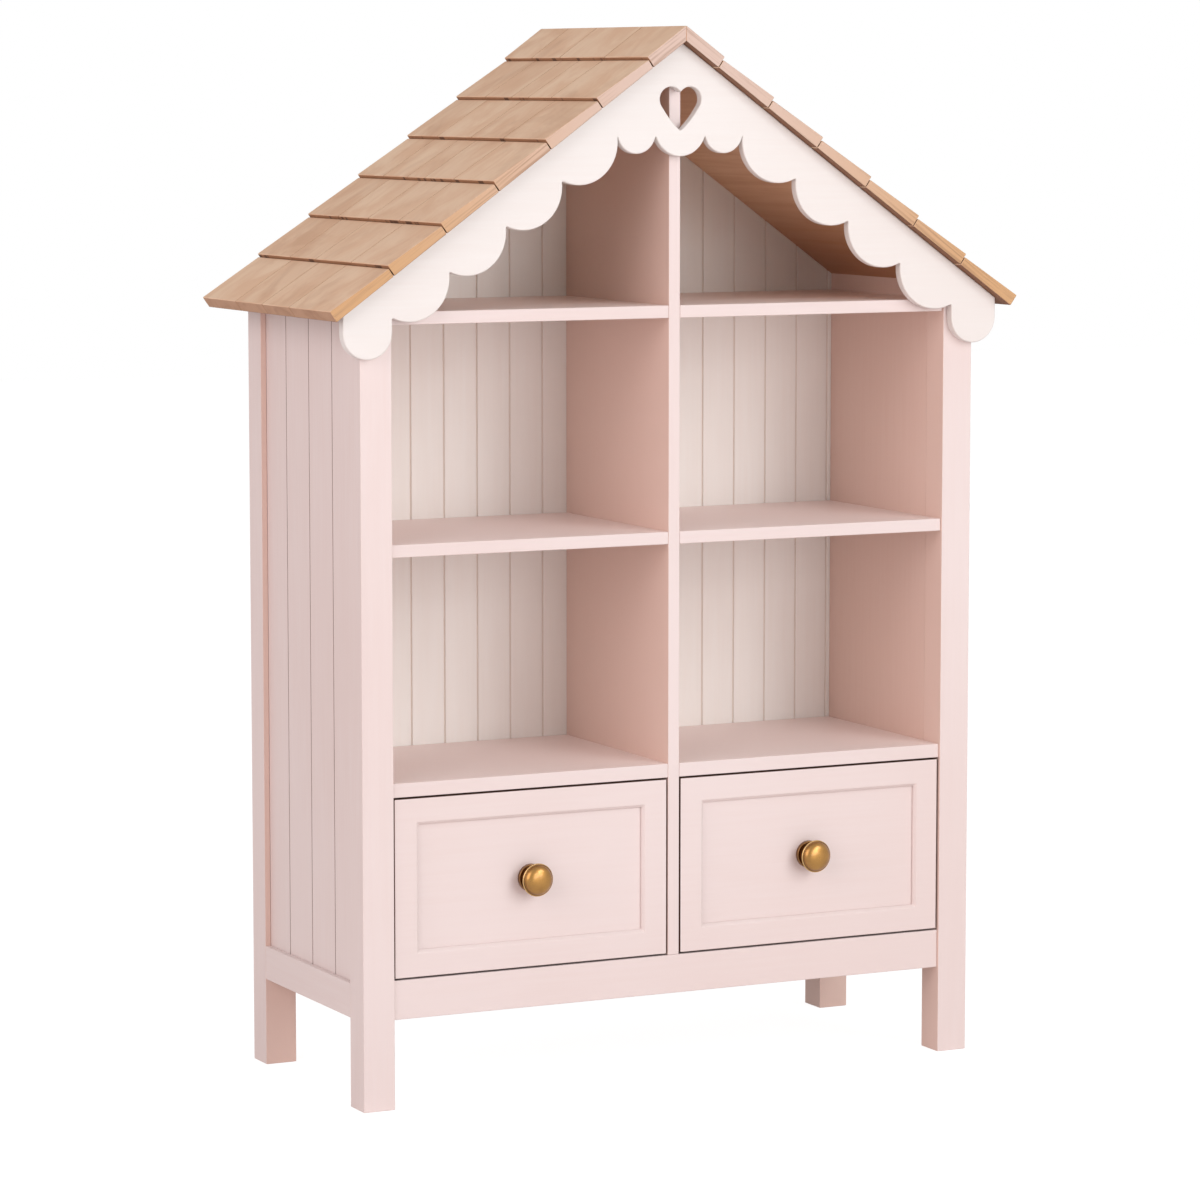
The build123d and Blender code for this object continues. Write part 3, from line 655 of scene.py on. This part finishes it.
def dress_all():
    """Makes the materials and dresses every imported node."""
    # painted shade: inward post faces, the side liners and the divider's side faces take the
    # darker inner pink
    post_paint = satin_paint("post_paint", PINK, UPRIGHT, inward_shaded_faces, PINK_SHADED_INNER)
    pink_level = satin_paint("pink_paint_level", PINK, ACROSS)
    pink_side = satin_paint("pink_paint_front_to_back", PINK, DEEP)
    pink_inner_shaded = satin_paint("pink_inner_wall_painted_shade", PINK_SHADED_INNER, UPRIGHT)
    divider_paint = satin_paint("divider_paint", PINK, UPRIGHT, upright_shaded_faces, PINK_SHADED_INNER)
    # painted light: the shelves' upward faces take the lighter top pink
    shelf_paint_lit_top = satin_paint("shelf_paint_lit_top", PINK, ACROSS, lit_top_faces, PINK_LIT_TOP)
    beadboard = satin_paint("beadboard_paint", PINK, UPRIGHT, side_groove_shade, SIDE_GROOVE_SHADE)
    drawer_paint = satin_paint("drawer_front_paint", PINK, ACROSS, drawer_gap_shade_edges, DRAWER_GAP_SHADE,
                               EDGE_ROUGHNESS)
    gable_paint = satin_paint("gable_paint", PINK_WHITE, ACROSS)
    white = satin_paint("white_back_paint", WARM_WHITE, UPRIGHT, back_groove_shade, BACK_GROOVE_SHADE)
    shingle = shingle_wood("shingle_wood", SHINGLE_BUTT_SHADED, SHINGLE_BUTT_SHADOW_LINE)
    eave = shingle_wood("eave_shingle_wood", EAVE_BUTT_SHADED)
    boards = roof_board_wood()
    wood_level = bare_wood("bare_wood_level", ACROSS)
    wood_deep = bare_wood("bare_wood_front_to_back", DEEP)
    brass = aged_brass()
    steel = zinc_steel()

    for side in ("left", "right"):
        for node in ("post_front", "post_rear"):
            dress(f"{node}_{side}", post_paint, PAINT_ARRIS)
        dress(f"side_liner_{side}", pink_inner_shaded, PAINT_ARRIS, long_only=True)
        dress(f"side_beadboard_{side}", beadboard, BOARD_ARRIS)
        for node in ("side_rail_lower", "side_rail_upper"):
            dress(f"{node}_{side}", pink_side, PAINT_ARRIS)
        for node in ("shelf_lower", "shelf_middle", "shelf_upper"):
            dress(f"{node}_{side}", shelf_paint_lit_top, PAINT_ARRIS, long_only=True)
        dress(f"roof_deck_{side}", boards, WOOD_ARRIS)
        dress(f"shingle_course_1_{side}", eave, SHINGLE_ARRIS)
        for course in range(2, COURSE_COUNT + 1):
            dress(f"shingle_course_{course}_{side}", shingle, SHINGLE_ARRIS)
        drawer = f"drawer_{side}_"
        dress(drawer + "front_frame", drawer_paint, PAINT_ARRIS)
        dress(drawer + "front_panel", pink_level, BOARD_ARRIS)
        dress(drawer + "side_inner", wood_deep, WOOD_ARRIS)
        dress(drawer + "side_outer", wood_deep, WOOD_ARRIS)
        dress(drawer + "back", wood_level, WOOD_ARRIS)
        dress(drawer + "bottom", wood_level, WOOD_ARRIS)
        dress(drawer + "knob", brass, METAL_ARRIS)
        dress(drawer + "knob_screw", steel, METAL_ARRIS)
    for node in ("front_apron", "rear_rail_lower", "rear_rail_upper", "bottom_panel"):
        dress(node, pink_level, PAINT_ARRIS)
    dress("centre_divider", divider_paint, PAINT_ARRIS, long_only=True)
    dress("back_panel", white, BOARD_ARRIS)
    dress("gable_board", gable_paint, GABLE_ARRIS, rounded_mitres=True)
    dress("shelf_dowels", wood_level, METAL_ARRIS)
    dress("drawer_runners", wood_deep, WOOD_ARRIS)
    dress("drawer_stops", wood_level, WOOD_ARRIS)


def seen_directly(tree):
    """1 for rays from the camera, from reflections and through glass, 0 for light."""
    path = tree.nodes.new("ShaderNodeLightPath")
    reflected = tree.nodes.new("ShaderNodeMath")
    reflected.operation = "ADD"
    tree.links.new(path.outputs["Is Camera Ray"], reflected.inputs[0])
    tree.links.new(path.outputs["Is Glossy Ray"], reflected.inputs[1])
    seen = tree.nodes.new("ShaderNodeMath")
    seen.operation = "ADD"
    seen.use_clamp = True
    tree.links.new(reflected.outputs[0], seen.inputs[0])
    tree.links.new(path.outputs["Is Transmission Ray"], seen.inputs[1])
    return seen.outputs[0]


def between(tree, factor, low, high):
    """A number that goes from low to high with the factor."""
    level = tree.nodes.new("ShaderNodeMapRange")
    level.inputs["To Min"].default_value = low
    level.inputs["To Max"].default_value = high
    tree.links.new(factor, level.inputs["Value"])
    return level.outputs["Result"]


def colour_between(tree, factor, low, high):
    """A colour that goes from low to high with the factor."""
    tint = tree.nodes.new("ShaderNodeMix")
    tint.data_type = "RGBA"
    tint.inputs[MIX_A].default_value = (*low, 1)
    tint.inputs[MIX_B].default_value = (*high, 1)
    tree.links.new(factor, tint.inputs[MIX_FACTOR])
    return tint.outputs[MIX_RESULT]


def make_floor():
    """A pale floor that looks white and keeps a faint shadow of the bookcase."""
    mesh = bpy.data.meshes.new("floor")
    half = FLOOR_HALF
    mesh.from_pydata([(-half, -half, 0), (half, -half, 0), (half, half, 0), (-half, half, 0)],
                     [], [(0, 1, 2, 3)])
    floor = bpy.data.objects.new("floor", mesh)
    bpy.context.scene.collection.objects.link(floor)
    material = bpy.data.materials.new("floor_white")
    material.use_nodes = True
    tree = material.node_tree
    shader = tree.nodes["Principled BSDF"]
    shader.inputs["Roughness"].default_value = FLOOR_ROUGHNESS
    shader.inputs["Specular IOR Level"].default_value = 0.0
    shader.inputs["Emission Color"].default_value = (*WHITE, 1)
    seen = seen_directly(tree)
    tree.links.new(colour_between(tree, seen, FLOOR_BOUNCE, FLOOR_SEEN),
                   shader.inputs["Base Color"])
    tree.links.new(between(tree, seen, 0.0, FLOOR_GLOW), shader.inputs["Emission Strength"])
    floor.data.materials.append(material)


def make_world():
    """Even, slightly warm light, and a white background for the camera and for reflections."""
    world = bpy.data.worlds.new("studio")
    bpy.context.scene.world = world
    world.use_nodes = True
    tree = world.node_tree
    background = tree.nodes["Background"]
    seen = seen_directly(tree)
    tree.links.new(colour_between(tree, seen, WORLD_COLOUR, WHITE), background.inputs["Color"])
    tree.links.new(between(tree, seen, WORLD_LEVEL, WORLD_SEEN_LEVEL),
                   background.inputs["Strength"])


def make_lamp(name, place, energy, size, colour=WHITE):
    """A square area lamp that looks at the middle of the bookcase."""
    lamp = bpy.data.lights.new(name, "AREA")
    lamp.energy = energy
    lamp.color = colour
    lamp.size = size
    lamp_object = bpy.data.objects.new(name, lamp)
    lamp_object.location = place
    lamp_object.visible_camera = False
    lamp_object.rotation_euler = (LIGHT_TARGET - place).to_track_quat("-Z", "Y").to_euler()
    bpy.context.scene.collection.objects.link(lamp_object)


def make_camera():
    """The camera at the photograph's viewing angle."""
    camera = bpy.data.cameras.new("camera")
    camera.lens = CAMERA_LENS
    camera.sensor_width = SENSOR_WIDTH
    camera.sensor_fit = "HORIZONTAL"
    camera_object = bpy.data.objects.new("camera", camera)
    camera_object.location = CAMERA_PLACE
    camera_object.rotation_euler = (math.pi / 2 + CAMERA_PITCH, 0, CAMERA_YAW)
    bpy.context.scene.collection.objects.link(camera_object)
    bpy.context.scene.camera = camera_object


dress_all()
make_floor()
make_world()
make_lamp("key", KEY_PLACE, KEY_ENERGY, KEY_SIZE)
make_lamp("left_fill", LEFT_PLACE, LEFT_ENERGY, LEFT_SIZE, LEFT_COLOUR)
make_lamp("front_fill", FRONT_PLACE, FRONT_ENERGY, FRONT_SIZE)
make_camera()
bpy.context.scene.view_settings.view_transform = "Standard"

bpy.context.view_layer.update()
